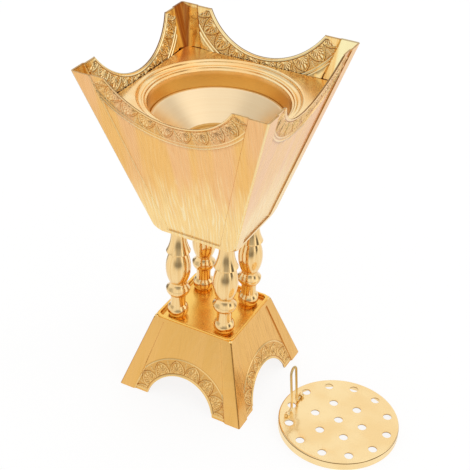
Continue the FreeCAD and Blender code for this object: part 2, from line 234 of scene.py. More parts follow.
def piece(name, points, faces, finish, body, slot, layers=(), back_finish=None, behind=()):
    """One piece from points in millimetres, on its body and in place of the node of its name."""
    mesh = bpy.data.meshes.new(name)
    mesh.from_pydata((np.asarray(points, float) * mm).tolist(), [], faces)
    corner_points = np.empty(len(mesh.loops), int)
    mesh.loops.foreach_get("vertex_index", corner_points)
    for layer_name, values in dict(layers).items():
        layer = mesh.uv_layers.new(name=layer_name)
        layer.data.foreach_set("uv", np.asarray(values, float)[corner_points].ravel())
    mesh.shade_smooth()
    mesh.set_sharp_from_angle(angle=sharp_edge)
    mesh.materials.append(finish)
    if back_finish:
        mesh.materials.append(back_finish)
        mesh.polygons.foreach_set("material_index", np.asarray(behind, int))
    made = bpy.data.objects.new(name, mesh)
    bpy.context.scene.collection.objects.link(made)
    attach(made, body)
    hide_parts(name)


def border(triangles):
    """Edges that only one triangle has, each in that triangle's direction."""
    edges = set()
    for a, b, c in triangles:
        for edge in ((a, b), (b, c), (c, a)):
            if (edge[1], edge[0]) in edges:
                edges.remove((edge[1], edge[0]))
            else:
                edges.add(edge)
    return edges


class Panel:
    """Plan of a leaning panel, in millimetres across it and up its slope."""

    def __init__(self, **sizes):
        self.__dict__.update(sizes)
        self.lean = math.atan2(self.head_half - self.foot_half, self.head_z - self.foot_z)
        self.whole = (self.head_z - self.foot_z) / math.cos(self.lean)
        self.length = (self.top_z - self.foot_z) / math.cos(self.lean)
        self.level = 1 / math.cos(self.lean)

    def half(self, h):
        return self.foot_half + h * math.sin(self.lean)

    def strip(self, h):
        return self.strip_foot + (self.strip_head - self.strip_foot) * h / self.whole

    def polar(self, x, h):
        """Angle about the opening's centre, and distance from the opening's edge."""
        rise = h - self.centre if self.centre < self.length / 2 else self.centre - h
        return np.arctan2(x, rise), np.hypot(x, rise) - self.opening

    def sunk(self, x, h):
        """Share of the pressed depth, from 0 on the strips to 1 in the field."""
        inside = np.minimum(self.half(h) - self.strip(h) - np.abs(x), h - self.field_low)
        inside = np.minimum(inside, self.field_high - h)
        return smooth((inside + ramp / 2) / ramp)


dot_spacing, dot_half = 0.85, 0.42


def stippled(x, h):
    """Ground beaten with small round dents, from 0 between them to 1 in their middles."""
    row = np.round(h / dot_spacing)
    across = x / dot_spacing + 0.5 * (row % 2)
    return hump(np.hypot((across - np.round(across)) * dot_spacing, h - row * dot_spacing), dot_half)


motif_width = 10.4
petal_foot, petal_root = 2.3, 1.3
petal_waist, petal_tip = 0.36, 3.4
rib_turn, rib_break = math.radians(19), 4.6


def petals(angle, q, pitch, first, tip):
    """Relief of the petals, in millimetres, how much painted shade it has in its grooves and hollows, and how
    much painted highlight on its raised lines, both from 0 to 1.
    """
    place = (angle - first) / pitch
    across = (place - np.round(place)) * motif_width
    share = np.clip((q - petal_foot) / (tip - petal_foot), 0, 1.2)
    outline = motif_width / 2 * (1 - petal_waist * share - (1 - petal_waist) * share ** petal_tip)
    taper = petal_waist + 2.18 * share ** (petal_tip - 1)
    slant = np.hypot(1, motif_width / 2 * taper / (tip - petal_foot))
    inside = (outline - np.abs(across)) / slant
    groove = hump(inside - 0.02, 0.30)
    rim_line = hump(inside - 0.52, 0.36)
    second_groove = hump(inside - 0.98, 0.26) * smooth((q - petal_foot - 0.6) / 0.4)
    fan = np.arctan2(across, q - petal_foot + petal_root)
    spread = np.hypot(across, q - petal_foot + petal_root)
    ribs = 0.5 + 0.5 * np.cos(fan * 2 * np.pi / rib_turn + np.pi * (spread > rib_break))
    heart = smooth((inside - 1.15) / 0.2) * smooth((spread - 2.0) / 0.4)
    bud = hump(spread - petal_root, 0.7)
    ground = smooth((-0.2 - inside) / 0.15)
    dots = stippled(across, q)
    leaf = hump(motif_width / 2 - np.abs(across), 0.55) * smooth((q - 5.2) / 0.6)
    high = rim_line * 0.36 - groove * 0.24 - second_groove * 0.16 + heart * (ribs * 0.28 - 0.10)
    high = high + bud * 0.30 + ground * (dots * 0.20 - 0.10 + leaf * 0.16)
    # Painted shade in the grooves, between the ribs and on the beaten ground, and painted highlights on the
    # raised lines, the bud and the leaves.
    dark = groove * 0.95 + second_groove * 0.5 + heart * (1 - ribs) ** 4 * 0.75 + ground * (0.30 - dots * 0.3)
    painted_highlight = rim_line * 0.9 + heart * ribs ** 2 * 0.6 + bud * 0.6 + ground * leaf * 0.5
    return high, np.clip(dark, 0, 1), np.clip(painted_highlight, 0, 1)


rim_width, rim_rise = 1.25, 0.40
rim_groove_place, rim_groove_half, rim_groove_depth = 1.55, 0.32, 0.12


def band(panel, x, h, pitch, tip, beads, last):
    """Relief of the rim, the petals and the beads along an opening, with painted shade in its grooves and
    beside the beads, and painted highlights on the rim, the petals and the beads.
    """
    angle, q = panel.polar(x, h)
    to_edge = np.minimum(q, panel.length - h) if panel.centre > panel.length else q
    inside = smooth((last - np.abs(angle)) / 0.008)
    rim = rim_rise * smooth((rim_width - to_edge) / 0.35)
    rim_groove = hump(to_edge - rim_groove_place, rim_groove_half)
    flowers, shade, shine = petals(angle, q, pitch, pitch / 2, tip)
    reach = smooth((to_edge - 1.7) / 0.2) * smooth((tip - 0.15 - q) / 0.2)
    high = rim + flowers * reach - rim_groove * rim_groove_depth
    # Painted shade in the rim's groove and the petals' hollows, and a painted highlight along the rim.
    dark = shade * reach + rim_groove
    painted_highlight = shine * reach + hump(to_edge - 1.05, 0.3) * 0.8
    for place, half, rise in beads:
        bead = hump(q - place, half)
        high = high + bead * rise
        # Painted shade beside each bead and a painted highlight on it.
        dark = dark + hump(q - place - half - 0.10, 0.24) * 0.6 + hump(q - place + half + 0.08, 0.20) * 0.35
        painted_highlight = painted_highlight + bead * 0.9
    return high * inside, np.clip(dark, 0, 1) * inside, np.clip(painted_highlight, 0, 1) * inside


def inside_outline(points, outline):
    """Which points lie in a closed outline."""
    x, y = points[:, 0], points[:, 1]
    found = np.zeros(len(points), bool)
    for (x0, y0), (x1, y1) in zip(outline, np.roll(outline, -1, 0)):
        cuts = ((y0 > y) != (y1 > y)) & (x < (x1 - x0) * (y - y0) / (y1 - y0 + 1e-12) + x0)
        found ^= cuts
    return found


def away_from(points, outline, margin):
    """Which points are further than margin from a closed outline."""
    near = np.full(len(points), 1e9)
    ends = np.roll(outline, -1, 0)
    for start, end in zip(outline, ends):
        run = end - start
        share = np.clip(((points - start) @ run) / (run @ run + 1e-12), 0, 1)
        near = np.minimum(near, np.hypot(*(points - start - share[:, None] * run).T))
    return near > margin


def arc_points(radius, centre, start, end, count, way):
    """Points of an arc about (0, centre), by angle from straight down or up."""
    angles = np.linspace(start, end, count)
    return np.column_stack([radius * np.sin(angles), centre + way * radius * np.cos(angles)])


def line_points(start, end, step):
    """Even points from start to end, without the end."""
    start, end = np.array(start, float), np.array(end, float)
    count = max(1, int(round(np.hypot(*(end - start)) / step)))
    return start + (end - start) * (np.arange(count) / count)[:, None]


def run_points(corners, steps):
    """Even points along straight runs from corner to corner, without the last corner."""
    return np.vstack([line_points(*run) for run in zip(corners, corners[1:], steps)])


def flat_triangles(loops, nearest):
    """Flat triangles over closed outlines and loose points; loops has each with whether it is closed."""
    edges = []
    start = 0
    for loop, closed in loops:
        if closed:
            edges += [(start + k, start + (k + 1) % len(loop)) for k in range(len(loop))]
        start += len(loop)
    points = [Vector(point) for loop, _ in loops for point in loop]
    found, _, triangles, *_ = delaunay_2d_cdt(points, edges, [], 1, nearest)
    return np.array([tuple(point) for point in found]), triangles


def sheet_mesh(panel, outline, loose, relief):
    """Points, faces and plan of a pressed sheet with both of its sides."""
    loose = loose[inside_outline(loose, outline)]
    loose = loose[away_from(loose, outline, 0.035)]
    flat, triangles = flat_triangles([(outline, True), (loose, False)], 1e-5)
    x, h = flat[:, 0], flat[:, 1]
    z = panel.foot_z + h * math.cos(panel.lean)
    half, strip = panel.half(h), panel.strip(h)
    raised, dark, bright = relief(x, h)
    depth = panel.sunk(x, h)
    pressed = (press_depth - raised) * depth * panel.level
    _, q = panel.polar(x, h)
    turn_in = edge_round * (1 - np.sqrt(1 - np.clip(1 - q / edge_round, 0, 1) ** 2))
    from_corner = np.clip(half - np.abs(x), 0, None)
    corner = panel.corner_round
    bend = corner * (1 - np.sqrt(np.clip(1 - np.clip(1 - from_corner / corner, 0, 1) ** 2, 0, 1)))
    outer = pressed + turn_in + bend
    inner = sheet * panel.level + pressed - turn_in
    cut = bevel_share * corner
    share = np.clip((from_corner - cut) / (strip - cut), 0, 1)
    inner_from_corner = sheet * panel.level * (1 - share) + from_corner * share
    inner_from_corner = np.where(from_corner < strip, inner_from_corner, from_corner)
    inner_x = np.sign(x) * (half - inner_from_corner)
    front = np.column_stack([x, outer - half, z])
    rear = np.column_stack([inner_x, inner - half, z])
    total = len(flat)
    faces = [tuple(triangle) for triangle in triangles]
    faces += [(total + c, total + b, total + a) for a, b, c in triangles]
    faces += [(b, a, total + a, total + b) for a, b in border(triangles)]
    behind = np.ones(len(faces), int)
    behind[:len(triangles)] = 0
    plan = np.vstack([flat, np.column_stack([inner_x, h])])
    across_in = half - strip - np.abs(x)
    along_in = np.minimum(h - panel.field_low, panel.field_high - h)
    # Painted light on the press steps: painted shade on the step at the field's +x side and on the vessel's
    # foot step, a painted highlight on the step at its -x side, and faint painted shade on the base's top
    # step.
    side_mark = np.where(x > 0, 1, -0.45)
    end_mark = 1 if panel.field_low > 0 else 0.1
    step = np.clip(6 * depth * (1 - depth), 0, 1) * np.where(along_in < across_in, end_mark, side_mark)
    # The rounded corner gets a painted highlight line on the vessel and a dark seam line on the base.
    corner_line = hump(from_corner - 0.3 * corner, 0.75 * corner)
    # Painted highlights on the corner, along the opening's rim and on the relief's raised lines; painted
    # shade in the relief's hollows, and a painted shadow line along the opening's edge.
    painted_highlight = corner_line * panel.corner_wear + 0.8 * hump(q - 0.3, 0.5) + bright * depth
    dark = dark * depth + corner_line * (1 - panel.corner_wear) + 0.9 * hump(q, 0.18)
    # One channel holds the painted shade and the seams; the other holds the steps' painted light, shade
    # positive and highlight negative, with the other painted highlights added where there is no step.
    marks = np.column_stack([np.clip(dark, 0, 1), step - np.clip(painted_highlight, 0, 1) * (np.abs(step) < 0.02)])
    return np.vstack([front, rear]), faces, behind, plan, np.vstack([marks, marks])


def turned_points(points, count):
    """Points turned round the burner's axis by quarter turns."""
    cos, sin = ((1, 0), (0, 1), (-1, 0), (0, -1))[count]
    return points @ np.array([[cos, sin, 0], [-sin, cos, 0], [0, 0, 1]])


def sheet_recipe(name):
    """A recipe with the plan of a pressed sheet, its place across its own side, and its marks of painted
    shade, dark seams and painted highlights.
    """
    gold = Recipe(bpy.data.materials.new(name))
    x, h, _ = gold.split(gold.node("UVMap", 0, {"uv_map": "sheet_plan"}))
    hollow, step, _ = gold.split(gold.node("UVMap", 0, {"uv_map": "sheet_marks"}))
    return gold, x, h, gold.reckon("WRAP", x, side_shift / 2, -side_shift / 2), hollow, step


def grain_finish(name, warm, light, rosy, shade_and_line_tone, rough, figure, floor_sheen_heights, grain_share, highlight_tone):
    """Gold plate over a sheet engraved with wood grain; the deepest tone serves the engraved lines and the
    painted shade in hollows.
    """
    gold, x, h, local, hollow, step = sheet_recipe(name)
    centre_x, centre_h, slender, period = figure
    # The first tone colours the grain lines; the second is painted shade for the press steps.
    worn_tone, step_shade_tone = (1.0, 0.89, 0.57), (0.52, 0.17, 0.02)

    def drawn(width, length, seed, detail=3.0):
        """Random value drawn out up the sheet."""
        return gold.specks(gold.point(x * width, h * length, seed), 1.0, detail, 0.55)

    def from_side(number, before, after):
        """One value before the side with this number and one from it on; the base's begin at 4."""
        edge = side_shift * (number - 0.5)
        return gold.rise(x, edge - 2, edge + 2, before, after)

    def waves(way, length):
        return gold.reckon("SINE", way * (2 * math.pi / length))

    drift = drawn(0.10, 0.03, 0.3, 2.0) - 0.5
    across = local - centre_x
    along = (h - centre_h) * slender
    wave = waves((across * across + along * along) ** 0.5 + drift * 7.0, period)
    hairs = drawn(3.2, 0.09, 1.7)
    combed = drawn(1.1, 0.05, 6.0)
    broken = gold.rise(drawn(0.22, 0.06, 4.0, 2.0), 0.38, 0.62)
    broad = drawn(0.10, 0.010, 8.0, 1.0)
    # Painted reflection of the bright table: the sheet is lighter towards its bottom, and the grain lines
    # show most there.
    painted_floor_sheen = gold.rise(h - across * 0.2 + (drawn(0.26, 0.04, 9.0, 2.0) - 0.5) * 46, *floor_sheen_heights, 1, 0)
    colour = gold.blend(gold.rise(broad, 0.40, 0.60), warm, rosy)
    colour = gold.blend(painted_floor_sheen * 0.9, colour, light)
    lines = gold.rise(wave, -0.1, 0.8) * (0.25 + broken * 0.75) * (0.15 + painted_floor_sheen * 0.85) * grain_share
    colour = gold.blend(lines * 0.62, colour, worn_tone)
    hatch = waves(local + h * 0.22 + drift * 3.0, 1.2)
    hatched = gold.rise(local, -30, -8, 1, 0) * gold.rise(h, 34, 50) * (0.3 + broken * 0.7) * grain_share
    colour = gold.blend(gold.rise(hatch, -0.2, -0.9) * hatched * 0.20, colour, shade_and_line_tone)
    hair_share = from_side(4, 0.20, 0.09) + from_side(5, 0.0, 0.33)
    colour = gold.blend(gold.rise(hairs * 0.6 + combed * 0.4, 0.34, 0.52, hair_share, 0.0), colour, shade_and_line_tone)
    # Painted highlights from the sheet's marks, then painted shade on the press steps, weaker on the front
    # panel.
    colour = gold.blend(gold.limit(0 - step) * 0.75, colour, highlight_tone)
    colour = gold.blend(gold.limit(step) * from_side(1, 0.40, 0.97), colour, step_shade_tone)
    # Painted shade in the relief's hollows, together with the base's dark corner seams, strongest on the
    # right, back and left panels and weakest on the front.
    hollow_share = from_side(1, 0.55, 1.5) - from_side(4, 0.0, 0.65)
    colour = gold.blend(gold.limit(hollow * hollow_share) * 0.95, colour, shade_and_line_tone)
    level = wave * 0.35 * grain_share + hairs * 0.8
    return gold.metal(colour, rough + (hairs - 0.5) * 0.12, 0.3, 0.00010, level)


def polished_finish(name, dark, light, streak, shade_and_line_tone, edge_height, rough):
    """Bright back of a pressed sheet, with upright rolling streaks, painted shade in its hollows and on its
    press steps, painted highlights, and a painted highlight and painted shade on two corner strips.
    """
    gold, x, h, local, hollow, step = sheet_recipe(name)
    strip_highlight_tone, highlight_tone, strip_shade_tone = (1.0, 0.91, 0.52), (1.0, 0.90, 0.56), (0.34, 0.09, 0.012)
    strip_foot, strip_slope = 15.4, 0.262
    rolled = gold.specks(gold.point(x * 0.6, h * 0.03, 2.0), 1.0, 3.0, 0.6)
    streaks = gold.specks(gold.point(x * 0.38, h * 0.012, 5.0), 1.0, 1.0, 0.5)
    colour = gold.blend(gold.rise(rolled, 0.3, 0.7), dark, light)
    on_strip = gold.rise(gold.reckon("ABSOLUTE", local) - h * strip_slope, strip_foot, strip_foot + 0.6)
    colour = gold.blend(gold.rise(streaks, 0.46, 0.60) * (0.1 + on_strip * 0.6), colour, streak)
    # A painted highlight on one corner strip of the back panel, and streaked painted shade on one corner
    # strip of the left panel.
    back_x, left_x = 2 * side_shift, 3 * side_shift
    highlight_strip = gold.between(x, back_x - 56, back_x - 54, back_x - 42.6, back_x - 41)
    colour = gold.blend(highlight_strip * 0.9, colour, strip_highlight_tone)
    shade_strip = gold.between(x, left_x - 60, left_x - 56, left_x - 42.6, left_x - 41)
    colour = gold.blend(shade_strip * (0.72 + gold.rise(streaks, 0.40, 0.60) * 0.24), colour, strip_shade_tone)
    # Painted highlights and painted shade from the sheet's marks, then a darker thin band along the top edge.
    colour = gold.blend(gold.limit(0 - step) * 0.95, colour, highlight_tone)
    colour = gold.blend(gold.limit(step) * 0.5, colour, shade_and_line_tone)
    colour = gold.blend(gold.limit(hollow * 1.5) * 0.9, colour, shade_and_line_tone)
    colour = gold.blend(gold.rise(h, edge_height - 0.5, edge_height - 0.2) * 0.55, colour, shade_and_line_tone)
    return gold.metal(colour, rough + (rolled - 0.5) * 0.08, 0.25, 0.00012, rolled)


vessel_foot_half, vessel_mouth_half = 23.9, 52.3
stand_height, total_height = 102.9, 198.0
vessel_lean = math.atan2(vessel_mouth_half - vessel_foot_half, total_height - stand_height)
head = (total_height - stand_height) / math.cos(vessel_lean)
scoop_half = 33.2
scoop_rise = 17.8 / math.cos(vessel_lean)
scoop_radius = (scoop_half ** 2 + scoop_rise ** 2) / (2 * scoop_rise)
vessel = Panel(
    foot_half=vessel_foot_half, foot_z=stand_height, head_half=vessel_mouth_half, head_z=total_height,
    top_z=total_height, strip_foot=9.0, strip_head=10.4, field_low=2.4, field_high=500.0, corner_round=1.25,
    corner_wear=1, opening=scoop_radius, centre=head - scoop_rise + scoop_radius)
scoop_turn = math.asin(scoop_half / vessel.opening)
scoop_columns = 380
scoop_row = arc_points(vessel.opening, vessel.centre, -scoop_turn, scoop_turn, scoop_columns, -1)
corner_cut = bevel_share * vessel.corner_round
foot_clip = np.array([19.2, 0])
foot_pull = np.array([23.0, 1.1])
foot_corner = np.array([vessel.half(4.6) - corner_cut, 4.6])
bend_shares = np.linspace(0, 1, 11)[:, None]
foot_bend = ((1 - bend_shares) ** 2 * foot_clip + bend_shares ** 2 * foot_corner
             + 2 * bend_shares * (1 - bend_shares) * foot_pull)
horn_half = vessel.half(head) - corner_cut
vessel_outline = np.vstack([
    line_points(foot_clip * (-1, 1), foot_clip, 0.9),
    foot_bend[:-1],
    run_points([foot_corner, (horn_half, head), (scoop_half, head)], (1.2, 0.8)),
    scoop_row[::-1][:-1],
    run_points([(-scoop_half, head), (-horn_half, head), foot_corner * (-1, 1)], (0.8, 1.2)),
    (foot_bend * (-1, 1))[::-1][:-1],
])
ramp_steps = (-0.36, -0.24, -0.12, 0.0, 0.12, 0.24, 0.36)
near_rows = [0.04, 0.10, 0.18, 0.28, 0.36]
corner_turns = np.radians((0, 12, 24, 35))


def lattice(panel, reach, columns, last, way):
    """Polar points along an opening, row by row out to its reach."""
    rows = np.concatenate([near_rows, np.arange(0.62, reach, 0.24)])
    return np.vstack([arc_points(panel.opening + q, panel.centre, -last, last, columns, way) for q in rows])


def strip_rows(panel, low, high, step):
    """Points along both corner strips, on their inner edges and on their rounded corners."""
    rows = []
    heights = np.arange(low, high, step)
    edges = [panel.half(heights) - panel.strip(heights) - offset for offset in ramp_steps]
    edges += [panel.half(heights) - panel.corner_round * (1 - math.sin(turn)) for turn in corner_turns]
    for x in edges:
        rows += [np.column_stack([x, heights]), np.column_stack([-x, heights])]
    return np.vstack(rows)


def level_rows(height):
    """Points across a sheet on both sides of a level press step."""
    levels = [round(height + step, 2) for step in ramp_steps]
    return np.vstack([line_points((-30, level), (30, level), 0.9) for level in levels])


def field_points(panel, low, high, step, reach):
    """Points of the plain field and strips, outside the band."""
    grid_x, grid_h = np.meshgrid(np.arange(-60, 60, step), np.arange(low, high, step))
    points = np.column_stack([grid_x.ravel(), grid_h.ravel()])
    _, q = panel.polar(points[:, 0], points[:, 1])
    corner = panel.half(points[:, 1]) - np.abs(points[:, 0])
    edge = panel.half(points[:, 1]) - panel.strip(points[:, 1]) - np.abs(points[:, 0])
    return points[(q > reach) & (np.abs(edge) > 0.6) & (corner > panel.corner_round + 0.4)]


vessel_loose = np.vstack([
    lattice(vessel, 12.6, scoop_columns, math.radians(59.8), -1),
    strip_rows(vessel, 0.6, head - 0.3, 0.8),
    field_points(vessel, 0.8, head, 2.0, 12.8),
    level_rows(vessel.field_low),
])
vessel_pitch, vessel_tip = math.radians(13.3), 9.7
vessel_band_end = math.radians(58.9)
vessel_beads = ((10.05, 0.48, 0.30), (11.75, 0.62, 0.38))


def vessel_relief(x, h):
    return band(vessel, x, h, vessel_pitch, vessel_tip, vessel_beads, vessel_band_end)


def press_out(kind, panel, outline, loose, relief, finish, first_side):
    """The four sides of a vessel or base, all pressed in the same die."""
    points, faces, behind, plan, marks = sheet_mesh(panel, outline, loose, relief)
    for k, name in enumerate(sides):
        layers = {"sheet_plan": plan + (side_shift * (first_side + k), 0), "sheet_marks": marks}
        piece(kind + name, turned_points(points, k), faces, finish, "burner", "satin_gold",
              layers, back_gold, behind)


vessel_gold = grain_finish(
    "satin_gold", (0.92, 0.53, 0.165), (1.0, 0.72, 0.31), (0.92, 0.53, 0.23), (0.40, 0.15, 0.025), 0.27,
    (-4.0, 34.0, 0.16, 1.9), (12, 52), 1.0, (1.0, 0.86, 0.48))
back_gold = polished_finish("polished_back_gold", (0.95, 0.59, 0.20), (1.0, 0.76, 0.35), (0.76, 0.36, 0.06),
                            (0.20, 0.075, 0.015), head, 0.13)
press_out("vessel_panel_", vessel, vessel_outline, vessel_loose, vessel_relief, vessel_gold, 0)


# Vessel floor: a flat brass plate soldered in the foot of the vessel, with four holes
# for the column screws. It is hidden under the tray and keeps its sawn, brushed face.
def plain_metal(name, dark, light, rough, streak, bump_depth, dark_band=None):
    """Metal with faint brushing, scaled per axis by streak, and with one darker level band round it if that
    band is given.
    """
    metal = Recipe(bpy.data.materials.new(name))
    at = metal.node("TexCoord", "Object")
    stretched = metal.node("VectorMath", 0, {"operation": "MULTIPLY"}, {0: at, 1: streak})
    brushed = metal.specks(stretched, 1.0, 3.0, 0.6)
    cloudy = metal.specks(at, 45.0)
    colour = metal.blend(metal.rise(cloudy, 0.35, 0.65), dark, light)
    if dark_band:
        low, high, tone = dark_band
        _, _, z = metal.split(at)
        ring = metal.between(z, (low - 0.1) * mm, low * mm, high * mm, (high + 0.1) * mm)
        colour = metal.blend(ring * 0.9, colour, tone)
    return metal.metal(colour, rough + (brushed - 0.5) * 0.12, 0.4, bump_depth, brushed)


def dress(node, finish):
    """Gives a carried-over node its finish."""
    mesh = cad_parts[node].data
    mesh.materials.clear()
    mesh.materials.append(finish)


floor_gold = plain_metal("brushed_floor_gold", (0.80, 0.46, 0.16), (0.88, 0.54, 0.21), 0.30,
                         (2500, 60, 60), 0.00004)
dress("vessel_floor", floor_gold)


# Base panels: four brass sheets pressed like the vessel's, with an arch that leaves a foot
# at each corner. The petal band follows the arch and runs out down the feet.
base = Panel(
    foot_half=38.7, foot_z=0.0, head_half=23.95, head_z=46.0, top_z=45.1, strip_foot=9.6, strip_head=6.8,
    field_low=-500.0, field_high=44.8, corner_round=0.7, corner_wear=0, opening=21.21, centre=-4.62)
arch_half = 20.7
arch_turn = math.asin(arch_half / base.opening)
arch_columns = 240
arch_row = arc_points(base.opening, base.centre, -arch_turn, arch_turn, arch_columns, 1)
base_cut = bevel_share * base.corner_round
crown = base.length
crown_clip = 1.6
base_foot_half, base_neck_half = base.half(0) - base_cut, base.half(crown - crown_clip) - base_cut
base_crown_half = base.half(crown) - 1.4
base_outline = np.vstack([
    line_points((-base_foot_half, 0), (-arch_half, 0), 0.6),
    arch_row[:-1],
    run_points([
        (arch_half, 0), (base_foot_half, 0), (base_neck_half, crown - crown_clip), (base_crown_half, crown),
        (-base_crown_half, crown), (-base_neck_half, crown - crown_clip), (-base_foot_half, 0)],
        (0.6, 1.2, 0.4, 1.2, 0.4, 1.2)),
])
base_loose = np.vstack([
    lattice(base, 11.8, arch_columns, math.radians(84), 1),
    strip_rows(base, 0.3, crown, 0.6),
    field_points(base, 0.5, crown, 1.6, 12.0),
    level_rows(base.field_high),
])
base_pitch, base_tip = math.radians(22.9), 9.3
base_beads = ((9.95, 0.55, 0.36),)
border_top, border_foot = np.array((24.6, 15.6)), np.array((28.6, 1.8))
border_end = 15.9


def base_relief(x, h):
    """Band along the arch, closed by a straight bead down each foot."""
    run = border_foot - border_top
    side_way = np.array([run[1], -run[0]]) / np.hypot(*run)
    off_border = (np.abs(x) - border_top[0]) * side_way[0] + (h - border_top[1]) * side_way[1]
    foot_bead = hump(h - 1.7, 0.5) * smooth((np.abs(x) - 21.5) / 0.3)
    edge_bead = hump(off_border, 0.42) * smooth((border_end - h) / 0.3) * 0.22
    within = smooth(off_border / 0.3) * smooth((h - 2.2) / 0.3)
    high, dark, painted_highlight = band(base, x, h, base_pitch, base_tip, base_beads, 3.0)
    # Painted shade in the groove beside the bead down each foot, and painted highlights on the beads.
    edge_groove = hump(off_border - 0.55, 0.3) * smooth((border_end - h) / 0.3) * 0.6
    painted_highlight = painted_highlight * within + edge_bead * 4 + foot_bead * 0.8
    return high * within + edge_bead + foot_bead * 0.2, np.clip(dark * within + edge_groove, 0, 1), painted_highlight


base_gold = grain_finish(
    "base_satin_gold", (0.83, 0.475, 0.135), (0.95, 0.64, 0.25), (0.85, 0.49, 0.15), (0.38, 0.14, 0.02), 0.25,
    (30.0, -60.0, 0.3, 2.4), (-60, -20), 0.25, (1.0, 0.82, 0.42))
press_out("base_panel_", base, base_outline, base_loose, base_relief, base_gold, len(sides))


# Base deck: a square pan drawn from brass sheet, with a rolled lip that rests on the
# heads of the base panels. It is polished and plated, and drilled for four screws.
ring_count = 256


def even_turns(count):
    return np.arange(count) * 2 * math.pi / count


def square_ring(half, corner, z):
    """Level square ring with round corners, in ring_count points."""
    cos, sin = np.cos(even_turns(ring_count)), np.sin(even_turns(ring_count))
    reach = half / np.maximum(np.abs(cos), np.abs(sin))
    flat = half - corner
    along = flat * (np.abs(cos) + np.abs(sin))
    inner = np.maximum(along ** 2 - (2 * flat ** 2 - corner ** 2), 0)
    in_corner = (np.abs(cos) * reach > flat) & (np.abs(sin) * reach > flat)
    reach = np.where(in_corner, along + np.sqrt(inner), reach)
    return np.column_stack([cos * reach, sin * reach, np.full(ring_count, z)])


def round_ring(radius, z, count=ring_count):
    """Level round ring; its radius may be a list, with one value for each point."""
    turns = even_turns(count)
    return np.column_stack([np.cos(turns) * radius, np.sin(turns) * radius, np.full(count, z)])


def skin(rings, closed=False):
    """Points and faces of a skin over rings of as many points, from the first to the last or round again."""
    count = len(rings[0])
    faces = []
    for low in range(len(rings) if closed else len(rings) - 1):
        start, above = low * count, (low + 1) % len(rings) * count
        for k in range(count):
            after = (k + 1) % count
            faces.append((start + k, start + after, above + after, above + k))
    return np.vstack(rings), faces


def rounded_profile(corners, steps=4):
    """Line of (r, z) with rounded corners; each corner is (r, z, radius)."""
    line = []
    count = len(corners)
    for k, (r, z, radius) in enumerate(corners):
        here = np.array((r, z), float)
        if radius == 0:
            line.append(here)
            continue
        before = np.array(corners[k - 1][:2], float)
        after = np.array(corners[(k + 1) % count][:2], float)
        into = (before - here) / np.hypot(*(before - here))
        out = (after - here) / np.hypot(*(after - here))
        start, end = here + into * radius, here + out * radius
        for share in np.linspace(0, 1, steps + 1):
            line.append((1 - share) ** 2 * start + 2 * share * (1 - share) * here + share ** 2 * end)
    return line


def drilled(radius, centres, count=32):
    """Round hole outlines."""
    turns = even_turns(count)
    return [np.column_stack([x + radius * np.cos(turns), y + radius * np.sin(turns)]) for x, y in centres]


def holed_face(outline, holes):
    """Flat triangles between an outline and the holes in it."""
    flat, triangles = flat_triangles([(loop, True) for loop in [outline] + holes], 1e-6)
    middles = flat[np.array(triangles)].mean(axis=1)
    solid = np.ones(len(middles), bool)
    for hole in holes:
        solid &= ~inside_outline(middles, hole)
    return flat, [triangle for triangle, keep in zip(triangles, solid) if keep]


class Pile:
    """Points and faces gathered for one piece."""

    def __init__(self):
        self.points = []
        self.faces = []
        self.count = 0

    def add(self, points, faces, flip=False):
        points = np.asarray(points, float)
        for face in faces:
            face = tuple(self.count + corner for corner in face)
            self.faces.append(face[::-1] if flip else face)
        self.points.append(points)
        self.count += len(points)

    def welded(self, gap=1e-4):
        """All points and faces, with points that fall together made one."""
        points = np.vstack(self.points)
        keys = np.round(points / gap).astype(np.int64)
        _, first, same = np.unique(keys, axis=0, return_index=True, return_inverse=True)
        same = same.ravel()
        faces = []
        for face in self.faces:
            new = []
            for corner in face:
                corner = int(same[corner])
                if corner not in new:
                    new.append(corner)
            if len(new) > 2:
                faces.append(tuple(new))
        return points[first], faces


def level_copy(flat, z):
    return np.column_stack([flat, np.full(len(flat), z)])


deck_top, deck_under, deck_brim = 43.8, 42.9, 46.0
pan_flat_half, pan_half_top, pan_half_low = 20.6, 22.305, 23.01
brim_half = 23.95
screw_hole = 2.15
column_half = 14.605
column_centres = [(-column_half, -column_half), (column_half, -column_half),
                  (column_half, column_half), (-column_half, column_half)]
corner_names = ("front_left", "front_right", "back_right", "back_left")
deck = Pile()
lip = rounded_profile([
    (pan_flat_half, deck_top, 0), (pan_half_low, deck_top, 1.1), (pan_half_top, deck_brim, 0.45),
    (brim_half, deck_brim, 0.5), (brim_half, base.top_z, 0.2), (23.64, base.top_z, 0),
    (24.3, deck_under, 0.3), (pan_flat_half, deck_under, 0)], 6)
corners = [max(1.2, 2.6 + (r - 22.3) * 0.6) for r, _ in lip]
deck.add(*skin([square_ring(r, corner, z) for (r, z), corner in zip(lip, corners)]), flip=True)
deck_holes = drilled(screw_hole, column_centres)
flat, triangles = holed_face(square_ring(pan_flat_half, corners[0], 0)[:, :2], deck_holes)
deck.add(level_copy(flat, deck_top), triangles)
deck.add(level_copy(flat, deck_under), triangles, flip=True)
for hole in deck_holes:
    deck.add(*skin([level_copy(hole, deck_under), level_copy(hole, deck_top)]), flip=True)
deck_gold = plain_metal("satin_deck_gold", (0.98, 0.54, 0.12), (1.0, 0.63, 0.16), 0.24,
                        (60, 2600, 60), 0.00004)
piece("base_deck", *deck.welded(), deck_gold, "burner", "polished_gold")


